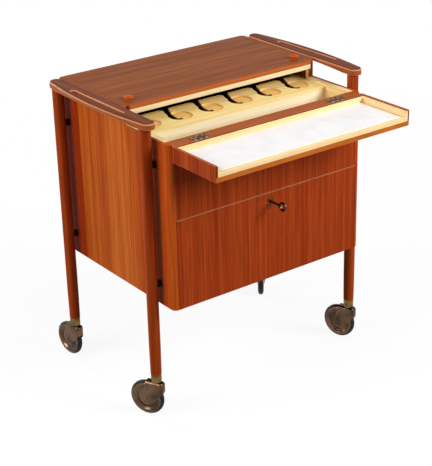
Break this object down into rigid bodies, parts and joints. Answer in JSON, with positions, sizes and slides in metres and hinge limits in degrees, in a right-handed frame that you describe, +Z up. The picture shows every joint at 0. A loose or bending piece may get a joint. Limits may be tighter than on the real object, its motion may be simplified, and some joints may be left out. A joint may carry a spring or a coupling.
{
  "type": "bar cart",
  "caption": "Teak bar cart on swivel casters with side push handles, a fold-out flap by a glass rack, a lift-up lid over a bottle well and a locking fall-front cupboard.",
  "frame": {"origin": "on the floor, midway between the axes of the four legs", "axes": "+X to the cart's right as one faces its front, +Y to the back, +Z up"},
  "size_m": [0.5823, 0.5736, 0.65],
  "materials": {
    "teak": "satin oiled",
    "teak_knob": "satin oiled",
    "blonde_wood": "clear satin",
    "laminate": "semi-gloss white",
    "brass": "aged satin",
    "steel": "plain",
    "black_spacer": "black satin",
    "bronzed_steel": "bronzed, worn satin",
    "tyre_rubber": "matte"
  },
  "bodies": {
    "cabinet": {"side_left": "teak", "side_right": "teak", "lip_left": "teak", "lip_right": "teak", "back_panel": "teak", "bottom_board": "teak", "fascia": "teak", "shelf": "blonde_wood", "partition": "blonde_wood", "liner_left": "blonde_wood", "liner_right": "blonde_wood", "rack": "blonde_wood", "rack_front": "blonde_wood", "trough_floor": "blonde_wood", "caster_sockets": "steel", "leg_spacers": "black_spacer", "handle_left": "teak", "handle_right": "teak", "flap_hinges_fixed": "brass", "lid_hinges_fixed": "brass", "door_pivots": "steel", "leg_front_left": "teak", "ferrule_front_left": "brass", "leg_front_right": "teak", "ferrule_front_right": "brass", "leg_rear_left": "teak", "ferrule_rear_left": "brass", "leg_rear_right": "teak", "ferrule_rear_right": "brass"},
    "flap": {"flap_case": "teak", "flap_bed": "blonde_wood", "flap_laminate": "laminate", "flap_hinges_moving": "brass"},
    "lid": {"lid_board": "teak", "lid_bed": "blonde_wood", "lid_knobs": "teak_knob", "lid_hinges_moving": "brass"},
    "door": {"door_panel": "teak", "lock_case": "steel", "escutcheon": "brass"},
    "key": {"key": "brass"},
    "bolt": {"bolt": "steel"},
    "caster_front_left": {"caster_fork_front_left": "bronzed_steel", "caster_axle_front_left": "bronzed_steel"},
    "wheel_front_left": {"caster_hub_front_left": "bronzed_steel", "caster_tyre_front_left": "tyre_rubber"},
    "caster_front_right": {"caster_fork_front_right": "bronzed_steel", "caster_axle_front_right": "bronzed_steel"},
    "wheel_front_right": {"caster_hub_front_right": "bronzed_steel", "caster_tyre_front_right": "tyre_rubber"},
    "caster_rear_left": {"caster_fork_rear_left": "bronzed_steel", "caster_axle_rear_left": "bronzed_steel"},
    "wheel_rear_left": {"caster_hub_rear_left": "bronzed_steel", "caster_tyre_rear_left": "tyre_rubber"},
    "caster_rear_right": {"caster_fork_rear_right": "bronzed_steel", "caster_axle_rear_right": "bronzed_steel"},
    "wheel_rear_right": {"caster_hub_rear_right": "bronzed_steel", "caster_tyre_rear_right": "tyre_rubber"}
  },
  "joints": [
    {"name": "flap_fold", "type": "hinge", "parent": "cabinet", "child": "flap", "pos_m": [0, -0.20825, 0.6033], "axis": [1, 0, 0], "range_deg": [-180, 0]},
    {"name": "lid_lift", "type": "hinge", "parent": "cabinet", "child": "lid", "pos_m": [0, 0.1949, 0.6325], "axis": [-1, 0, 0], "range_deg": [0, 100]},
    {"name": "door_fall", "type": "hinge", "parent": "cabinet", "child": "door", "pos_m": [0, -0.203, 0.258], "axis": [1, 0, 0], "range_deg": [0, 90]},
    {"name": "key_turn", "type": "hinge", "parent": "door", "child": "key", "pos_m": [0, -0.208, 0.425], "axis": [0, -1, 0], "range_deg": [0, 90]},
    {"name": "bolt_throw", "type": "slide", "parent": "door", "child": "bolt", "axis": [0, 0, 1], "range_m": [0, 0.007]},
    {"name": "swivel_front_left", "type": "hinge", "parent": "cabinet", "child": "caster_front_left", "pos_m": [-0.2635, -0.16, 0.0803], "axis": [0, 0, 1], "continuous": true},
    {"name": "roll_front_left", "type": "hinge", "parent": "caster_front_left", "child": "wheel_front_left", "pos_m": [-0.27366, -0.1397, 0.0384], "axis": [0.8942, 0.4478, 0], "continuous": true},
    {"name": "swivel_front_right", "type": "hinge", "parent": "cabinet", "child": "caster_front_right", "pos_m": [0.2635, -0.16, 0.0803], "axis": [0, 0, 1], "continuous": true},
    {"name": "roll_front_right", "type": "hinge", "parent": "caster_front_right", "child": "wheel_front_right", "pos_m": [0.25649, -0.13841, 0.0384], "axis": [0.9511, 0.309, 0], "continuous": true},
    {"name": "swivel_rear_left", "type": "hinge", "parent": "cabinet", "child": "caster_rear_left", "pos_m": [-0.2635, 0.16, 0.0803], "axis": [0, 0, 1], "continuous": true},
    {"name": "roll_rear_left", "type": "hinge", "parent": "caster_rear_left", "child": "wheel_rear_left", "pos_m": [-0.26666, 0.18248, 0.0384], "axis": [0.9903, 0.1392, 0], "continuous": true},
    {"name": "swivel_rear_right", "type": "hinge", "parent": "cabinet", "child": "caster_rear_right", "pos_m": [0.2635, 0.16, 0.0803], "axis": [0, 0, 1], "continuous": true},
    {"name": "roll_rear_right", "type": "hinge", "parent": "caster_rear_right", "child": "wheel_rear_right", "pos_m": [0.24962, 0.14204, 0.0384], "axis": [-0.7912, 0.6115, 0], "continuous": true}
  ],
  "couplings": [
    {"joint": "bolt_throw", "follows": "key_turn", "m_per_rad": 0.0044563}
  ]
}
